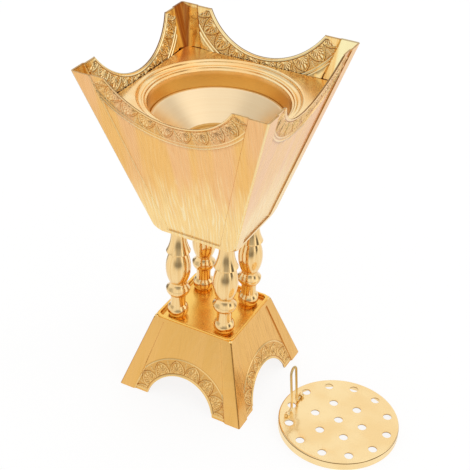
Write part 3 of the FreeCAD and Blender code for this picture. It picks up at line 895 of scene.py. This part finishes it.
# Columns: four solid balusters turned from brass bar and polished, each with a ball, a
# saucer bead, an egg, a ring and a bell under its capital. Both ends are tapped.
def arc_through(start, middle, end, steps):
    """Points of the arc from start through middle to end, without the start."""
    (x0, y0), (x1, y1), (x2, y2) = start, middle, end
    det = 2 * (x0 * (y1 - y2) + x1 * (y2 - y0) + x2 * (y0 - y1))
    s0, s1, s2 = x0 * x0 + y0 * y0, x1 * x1 + y1 * y1, x2 * x2 + y2 * y2
    centre_x = (s0 * (y1 - y2) + s1 * (y2 - y0) + s2 * (y0 - y1)) / det
    centre_y = (s0 * (x2 - x1) + s1 * (x0 - x2) + s2 * (x1 - x0)) / det
    radius = math.hypot(x0 - centre_x, y0 - centre_y)
    first, between, last = (math.atan2(y - centre_y, x - centre_x) for x, y in (start, middle, end))
    whole = 2 * math.pi
    way = 1 if (between - first) % whole < (last - first) % whole else -1
    sweep = way * (((last - first) * way) % whole)
    turns = first + sweep * np.arange(1, steps + 1) / steps
    return [(centre_x + radius * math.cos(turn), centre_y + radius * math.sin(turn)) for turn in turns]


def turned_piece(profile, segments=112):
    """Points and faces of a shape turned round the Z axis; profile runs from axis to axis."""
    made = Pile()
    made.add(*skin([round_ring(r, z, segments) for r, z in profile]))
    return made.welded()


column_foot, column_head = deck_top, stand_height
column_tall = column_head - column_foot


def column_at(share):
    return column_foot + column_tall * share


def column_profile():
    """Half outline of a column from its foot up to its capital."""
    foot_edge = column_foot + 0.2
    line = [(0, column_foot), (4.4, column_foot), (4.68, foot_edge)]
    line += arc_through((4.68, foot_edge), (5.9, column_at(0.0635)), (4.3, column_at(0.127)), 24)
    line += arc_through((4.3, column_at(0.127)), (4.15, column_at(0.1835)), (4.55, column_at(0.240)), 10)
    line += arc_through((4.6, column_at(0.240)), (6.25, column_at(0.272)), (6.66, column_at(0.307)), 16)
    line += [(6.69, column_at(0.3105)), (6.62, column_at(0.314))]
    line += arc_through((6.62, column_at(0.314)), (5.35, column_at(0.340)), (4.72, column_at(0.378)), 10)
    line += arc_through((4.7, column_at(0.382)), (6.95, column_at(0.548)), (4.75, column_at(0.712)), 40)
    ring_z = column_at(0.722)
    line += [(5.2, ring_z - 0.5), (5.9, ring_z - 0.42), (6.0, ring_z - 0.25), (5.9, ring_z - 0.08),
             (6.2, ring_z), (6.55, ring_z + 0.06), (6.65, ring_z + 0.22), (6.65, ring_z + 0.45),
             (6.55, ring_z + 0.62)]
    line += arc_through((6.55, ring_z + 0.62), (4.78, column_at(0.8195)), (4.15, column_at(0.917)), 20)
    line += arc_through((4.15, column_at(0.917)), (4.5, column_at(0.955)), (5.4, column_head - 0.8), 8)
    line += [(5.4, column_head - 0.15), (5.25, column_head), (0, column_head)]
    return line


def brushed_finish(name, dark, light, shade, rough):
    """Turned metal brushed lengthwise; the layer turned_way holds the way round its own axis."""
    metal = Recipe(bpy.data.materials.new(name))
    way_x, way_y, _ = metal.split(metal.node("UVMap", 0, {"uv_map": "turned_way"}))
    _, _, z = metal.split(metal.node("TexCoord", "Object"))
    strokes = metal.specks(metal.point(way_x * 10, way_y * 10, z * 60), 1.0, 3.0, 0.6)
    broad = metal.specks(metal.point(way_x * 1.6, way_y * 1.6, z * 40), 1.0, 1.0, 0.5)
    colour = metal.blend(metal.rise(strokes, 0.35, 0.65), dark, light)
    colour = metal.blend(metal.rise(broad, 0.50, 0.72) * 0.4, colour, shade)
    return metal.metal(colour, rough + (strokes - 0.5) * 0.1, 0.3, 0.00004, strokes)


column_gold = brushed_finish("polished_column_gold", (0.86, 0.57, 0.245), (0.94, 0.68, 0.335),
                             (0.72, 0.44, 0.165), 0.14)
column_points, column_faces = turned_piece(column_profile())
reach = np.maximum(np.hypot(column_points[:, 0], column_points[:, 1]), 1e-6)
column_way = column_points[:, :2] / reach[:, None]
for (x, y), name in zip(column_centres, corner_names):
    piece("column_" + name, column_points + (x, y, 0), column_faces, column_gold, "burner", "polished_gold",
          {"turned_way": column_way})


# Screws and washers: M4 pan head steel screws, zinc plated, with a flat washer each. Four
# go down through the vessel floor and four up through the deck into the columns.
steel = plain_metal("screw_steel", (0.50, 0.49, 0.46), (0.62, 0.61, 0.58), 0.30, (400, 400, 400), 0.00002)
vessel_floor_top = 104.1
washer_sheet, washer_radius = 0.8, 4.5
screw_reach = 12.0
head_radius, head_height, head_crown = 3.7, 2.6, 1.2
recess_half, recess_reach, recess_depth = 0.42, 1.9, 1.3
thread_core, thread_height, thread_pitch = 1.62, 0.36, 0.7
spokes = 64


def screw(seat, way):
    """A pan head screw with a cross recess and a threaded shank, driven down from its seat or up."""
    rings = []
    for r in [*np.linspace(0.0, 3.0, 22), 3.2, 3.4, 3.55, 3.65, head_radius]:
        ring = round_ring(r, seat + way * (head_height - head_crown * (r / head_radius) ** 4), spokes)
        arm = np.abs(ring[:, :2]).min(axis=1)
        depth = recess_depth * smooth((recess_half - arm) / 0.12 + 0.5)
        ring[:, 2] -= way * (depth * smooth((recess_reach - r) / 0.2 + 0.5))
        rings.append(ring)
    for r, rise in ((head_radius, 0.15), (3.55, 0), (2.0, 0)):
        rings.append(round_ring(r, seat + way * rise, spokes))
    for along in np.arange(0.3, screw_reach - 0.4, thread_pitch / 6):
        turn = along / thread_pitch + even_turns(spokes) / (2 * math.pi) * way
        thread = np.abs((turn % 1) - 0.5) * 2
        rings.append(round_ring(thread_core + thread_height * thread, seat - way * along, spokes))
    for r in (1.4, 0.0):
        rings.append(round_ring(r, seat - way * screw_reach, spokes))
    made = Pile()
    made.add(*skin(rings), flip=way > 0)
    return made


def washer(low):
    """A flat washer with its edges taken off."""
    high = low + washer_sheet
    line = rounded_profile([(screw_hole, low, 0.12), (washer_radius, low, 0.15),
                            (washer_radius, high, 0.15), (screw_hole, high, 0.12)], 3)
    made = Pile()
    made.add(*skin([round_ring(r, z, 48) for r, z in line], True))
    return made


for name, pile in (("upper_screws", screw(vessel_floor_top + washer_sheet, 1)),
                   ("upper_washers", washer(vessel_floor_top)),
                   ("lower_screws", screw(deck_under - washer_sheet, -1)),
                   ("lower_washers", washer(deck_under - washer_sheet))):
    points, faces = pile.welded()
    group = Pile()
    for x, y in column_centres:
        group.add(points + (x, y, 0), faces)
    piece(name, np.vstack(group.points), group.faces, steel, "burner", "screw_steel")


# Tray plate: a drop-in square plate with a turned-down edge, pressed down in its middle
# over a rolled rim, a cove and a ridge to a wall, whose ledge holds the cup.
tray_top = 177.2
tray_sheet = 1.0
tray_play = 0.3
skirt_low = tray_top - 6.0
ledge_top = tray_top - 13.0


def tray_half(z):
    """Half width of the tray at a height, a little less than between the pressed fields."""
    return vessel.half((z - vessel.foot_z) * vessel.level) - (sheet + press_depth) * vessel.level - tray_play


def tray_finish(name, dark, light, wall_reflection_tone, edge, rough):
    """Bright gold anodised sheet, with painted reflection of the gold round it on the drawn wall and painted
    shade at its outer edge, in the gap against the vessel.
    """
    metal = Recipe(bpy.data.materials.new(name))
    at = metal.node("TexCoord", "Object")
    x, y, z = metal.split(at)
    rim = tray_half(tray_top)
    fine = metal.specks(at, 900.0)
    colour = metal.blend(metal.rise(metal.specks(at, 45.0), 0.35, 0.65), dark, light)
    # Painted reflection of the gold round it, on the drawn wall.
    colour = metal.blend(metal.rise(z, (tray_top - 6.5) * mm, (tray_top - 4.2) * mm, 1, 0), colour, wall_reflection_tone)
    # Painted shade at the outer edge, in the gap against the vessel panels.
    outwards = metal.reckon("MAXIMUM", metal.reckon("ABSOLUTE", x), metal.reckon("ABSOLUTE", y))
    colour = metal.blend(metal.rise(outwards, (rim - 0.65) * mm, (rim - 0.25) * mm), colour, edge)
    return metal.metal(colour, rough + (fine - 0.5) * 0.06, 0.2, 0.00001, fine)


tray_gold = tray_finish("tray_gold", (0.99, 0.64, 0.27), (1.0, 0.77, 0.42), (0.78, 0.48, 0.15),
                        (0.16, 0.05, 0.01), 0.23)
collar_brim = tray_half(tray_top) - 1.6
collar_roll, cove_width, cove_drop, cove_sag = 1.2, 2.1, 1.1, 0.35
ridge_width, ridge_height = 1.6, 0.3
roll_r, roll_z = collar_brim - collar_roll, tray_top - collar_roll
roll_bulge = collar_roll * math.sqrt(0.5)
cove_r, cove_z = roll_r - cove_width, roll_z - cove_drop
dip_r, dip_z = (roll_r + cove_r + cove_sag) / 2, (roll_z + cove_z) / 2 - cove_sag
ridge_r = cove_r - ridge_width
riser_r, riser_z = ridge_r - 0.2, cove_z - 0.8
mouth_r, mouth_z = riser_r - 1.1, riser_z - 0.4
collar_foot = mouth_r - 1.2
ledge_inner = collar_foot - 1.2
collar_sheet = 0.9
lap = collar_sheet / 2
skirt = rounded_profile([
    (tray_half(skirt_low) - tray_sheet, skirt_low, 0.2), (tray_half(skirt_low), skirt_low, 0.2),
    (tray_half(tray_top), tray_top, 0.7), (collar_brim + 0.3, tray_top, 0)], 5)[:-1]
curved = [(collar_brim + 0.3, tray_top), (collar_brim, tray_top)]
curved += arc_through(curved[-1], (collar_brim - roll_bulge, roll_z + roll_bulge), (roll_r, roll_z), 9)
curved += arc_through(curved[-1], (dip_r, dip_z), (cove_r + 0.1, cove_z), 10)
curved += arc_through((cove_r - 0.1, cove_z + 0.04), (cove_r - ridge_width / 2, cove_z + ridge_height),
                      (ridge_r + 0.12, cove_z + 0.06), 10)
collar_corners = [(r, z, 0) for r, z in curved]
collar_corners += [(ridge_r, cove_z - 0.05, 0.1), (riser_r, riser_z, 0.12), (mouth_r, mouth_z, 0.4),
                   (collar_foot, ledge_top, 0.5), (ledge_inner, ledge_top, 0.2),
                   (ledge_inner, ledge_top - collar_sheet, 0.2),
                   (collar_foot + collar_sheet, ledge_top - collar_sheet, 0.9),
                   (mouth_r + collar_sheet, mouth_z - collar_sheet, 0.25),
                   (riser_r + collar_sheet, riser_z - collar_sheet, 0.2),
                   (ridge_r + collar_sheet, cove_z - collar_sheet, 0.2), (cove_r, cove_z - collar_sheet, 0)]
under_cove = arc_through((cove_r, cove_z - collar_sheet), (dip_r + lap, dip_z - collar_sheet),
                         (roll_r + collar_sheet, roll_z), 6)
collar_corners += [(r, z, 0) for r, z in under_cove]
collar_corners += [(collar_brim, tray_top - tray_sheet, 0)]
collar_line = rounded_profile(collar_corners, 5)
under = rounded_profile([(collar_brim, tray_top - tray_sheet, 0),
                         (tray_half(tray_top - tray_sheet) - tray_sheet, tray_top - tray_sheet, 0.4),
                         (tray_half(skirt_low) - tray_sheet, skirt_low, 0)], 4)[1:-1]
tray_rings = [square_ring(r, 3.0, z) for r, z in skirt] + [round_ring(r, z) for r, z in collar_line]
tray_rings += [square_ring(r, 2.0, z) for r, z in under]
tray = Pile()
tray.add(*skin(tray_rings, True))
piece("tray_plate", *tray.welded(), tray_gold, "tray", "tray_gold")


# Charcoal cup: a cone spun from thin aluminium, anodised pale champagne. Its flat rim
# hangs on the collar's ledge, and its floor has a shallow dish for the charcoal.
cup_sheet = 0.8
cup_rim = collar_foot - 0.4
cup_rim_top = ledge_top + cup_sheet
cup_mouth = cup_rim - 1.4
cup_floor, cup_floor_r = 151.7, 18.3
cup_dish, cup_dish_r = 150.1, 17.3
cup_line = [(0.0, cup_dish)]
cup_line += rounded_profile([
    (0, cup_dish, 0), (cup_dish_r - 0.6, cup_dish, 0.5), (cup_dish_r, cup_floor, 0.35),
    (cup_floor_r, cup_floor, 0.6), (cup_mouth, cup_rim_top, 0.5), (cup_rim, cup_rim_top, 0.3),
    (cup_rim, ledge_top, 0.15), (cup_mouth + 0.3, ledge_top, 0.3),
    (cup_floor_r + 0.3, cup_floor - cup_sheet, 0.15), (cup_dish_r + 0.8, cup_floor - cup_sheet, 0.1),
    (cup_dish_r + 0.2, cup_dish - cup_sheet, 0.5), (0, cup_dish - cup_sheet, 0)], 6)[1:]


def closer(line, step):
    """The line with more points on its long runs."""
    made = [line[0]]
    for (r0, z0), (r1, z1) in zip(line, line[1:]):
        count = max(1, int(math.hypot(r1 - r0, z1 - z0) / step))
        made += [(r0 + (r1 - r0) * (k / count), z0 + (z1 - z0) * (k / count)) for k in range(1, count + 1)]
    return made


def spun_finish(name, dark, light, floor_tone, rough, bump_depth):
    """Metal with fine rings left by the spinning tool round the burner's axis, and a deeper floor."""
    metal = Recipe(bpy.data.materials.new(name))
    x, y, z = metal.split(metal.node("TexCoord", "Object"))
    radius = (x * x + y * y) ** 0.5
    rings = metal.specks(metal.point(radius * 2600, z * 2600, 0.0), 1.0, 2.0, 0.6)
    broad = metal.specks(metal.point(radius * 420, z * 420, 3.0), 1.0, 2.0, 0.6)
    colour = metal.blend(metal.rise(rings * 0.6 + broad * 0.4, 0.3, 0.7), dark, light)
    on_floor = metal.rise(radius, (cup_floor_r - 0.3) * mm, (cup_floor_r + 0.3) * mm, 1, 0)
    colour = metal.blend(on_floor, colour, floor_tone)
    return metal.metal(colour, rough + (broad - 0.5) * 0.1, 0.5, bump_depth, rings + broad)


champagne = spun_finish("champagne", (0.95, 0.72, 0.43), (0.99, 0.79, 0.51), (0.74, 0.46, 0.155),
                        0.36, 0.000005)
piece("charcoal_cup", *turned_piece(closer(cup_line, 1.5), 192), champagne, "cup", "champagne")


# Pierced plate: a round lid stamped from aluminium, gold anodised, with a turned-down rim,
# nineteen punched holes, and two eyelets for the handle. It lies loose on the table.
plate_x, plate_y = 84.7, -9.0
plate_radius, plate_rim, plate_sheet = 33.2, 4.95, 0.9
plate_under = plate_rim - plate_sheet
face_top_radius, face_under_radius = 32.2, 31.6
hole_radius, hole_bevel = 2.35, 0.22
hole_turn = 4.6
hole_centres = [(0.0, 0.0)]
for ring_radius, count in ((13.6, 6), (27.6, 12)):
    for k in range(count):
        turn = math.radians(hole_turn + 360 * k / count)
        hole_centres.append((-ring_radius * math.cos(turn), -ring_radius * math.sin(turn)))
plate = Pile()
edge = rounded_profile([
    (face_top_radius, plate_rim, 0), (plate_radius, plate_rim, 0.9), (plate_radius, 0, 0.2),
    (plate_radius - plate_sheet, 0, 0.2), (plate_radius - plate_sheet, plate_under, 0.5),
    (face_under_radius, plate_under, 0)], 6)
plate.add(*skin([round_ring(r, z) for r, z in edge]), flip=True)
wide_holes = drilled(hole_radius + hole_bevel, hole_centres, 48)
for radius, z in ((face_top_radius, plate_rim), (face_under_radius, plate_under)):
    flat, triangles = holed_face(round_ring(radius, 0)[:, :2], wide_holes)
    plate.add(level_copy(flat, z), triangles, flip=z < plate_rim)
hole_line = [
    (hole_bevel, plate_rim), (0.13, plate_rim - 0.03), (0.04, plate_rim - 0.10), (0, plate_rim - hole_bevel),
    (0, plate_under + hole_bevel), (0.06, plate_under + 0.06), (hole_bevel, plate_under)]
for centre in hole_centres:
    plate.add(*skin([level_copy(drilled(hole_radius + wider, [centre], 48)[0], z) for wider, z in hole_line]))
points, faces = plate.welded()
wire_radius = 0.7
half_span = 10.9
eyelet_axis = np.array((plate_x - plate_radius + 7.3, plate_y - 2.5, plate_rim + wire_radius + 0.25))
eyelet_inner, eyelet_outer, eyelet_half = 0.78, 1.48, 1.0
eyelet_reach = half_span - 0.9 - eyelet_half
eyelet_line = rounded_profile([
    (eyelet_inner, -eyelet_half, 0.12), (eyelet_outer, -eyelet_half, 0.25),
    (eyelet_outer, eyelet_half, 0.25), (eyelet_inner, eyelet_half, 0.12)], 4)
eyelet_points, eyelet_faces = skin([round_ring(r, along, 48)[:, [0, 2, 1]] for r, along in eyelet_line], True)
joined = Pile()
joined.add(points + (plate_x, plate_y, 0), faces)
for way in (-1, 1):
    joined.add(eyelet_points + eyelet_axis + (0, way * eyelet_reach, 0), eyelet_faces, flip=True)
# A darker level band just under the top edge of the plate's rim.
rim_dark_band = (plate_rim - 0.80, plate_rim - 0.40, (0.22, 0.11, 0.025))
plate_gold = plain_metal("plate_gold", (0.96, 0.69, 0.335), (1.0, 0.77, 0.415), 0.22,
                         (1500, 60, 60), 0.00002, rim_dark_band)
piece("pierced_plate", np.vstack(joined.points), joined.faces, plate_gold, "lid", "plate_gold")


# Handle: brass wire bent to a narrow upright loop, with a foot to each side that turns
# in its eyelet. Its ends are cut square and filed.
half_loop, loop_height, loop_bend = 3.2, 26.0, 1.6
end_file = 0.12
handle_lean = math.radians(4.8)
bend_pull = loop_bend * (1 - math.sqrt(0.5))
wire = [(-half_span, 0.0), (-(half_loop + loop_bend), 0.0)]
wire += arc_through(wire[-1], (-(half_loop + bend_pull), bend_pull), (-half_loop, loop_bend), 8)
wire += [(-half_loop, z) for z in np.linspace(loop_bend, loop_height - half_loop, 6)[1:]]
far_side = [(-y, z) for y, z in reversed(wire)]
wire += arc_through(wire[-1], (0, loop_height), (half_loop, loop_height - half_loop), 24)
wire = np.array(wire + far_side)
along = np.gradient(wire, axis=0)
along /= np.hypot(along[:, 0], along[:, 1])[:, None]


def wire_ring(at, way, radius):
    """Round section of the wire at a point of its line."""
    turns = even_turns(24)
    flat = at + np.outer(radius * np.cos(turns), np.array((-way[1], way[0])))
    return np.column_stack([radius * np.sin(turns), flat[:, 0], flat[:, 1]])


rings = [wire_ring(wire[0], along[0], 0.001), wire_ring(wire[0], along[0], wire_radius - end_file),
         wire_ring(wire[0] + along[0] * end_file, along[0], wire_radius)]
rings += [wire_ring(at, way, wire_radius) for at, way in zip(wire[1:-1], along[1:-1])]
rings += [wire_ring(wire[-1] - along[-1] * end_file, along[-1], wire_radius),
          wire_ring(wire[-1], along[-1], wire_radius - end_file), wire_ring(wire[-1], along[-1], 0.001)]
handle_points, handle_faces = skin(rings)
cos, sin = math.cos(handle_lean), math.sin(handle_lean)
handle_points = handle_points @ np.array([[cos, 0, sin], [0, 1, 0], [-sin, 0, cos]]) + eyelet_axis
wire_gold = plain_metal("polished_wire_gold", (0.58, 0.41, 0.16), (0.90, 0.68, 0.35), 0.15,
                        (160, 160, 160), 0.00001)
piece("plate_handle", handle_points, handle_faces, wire_gold, "handle", "polished_gold")
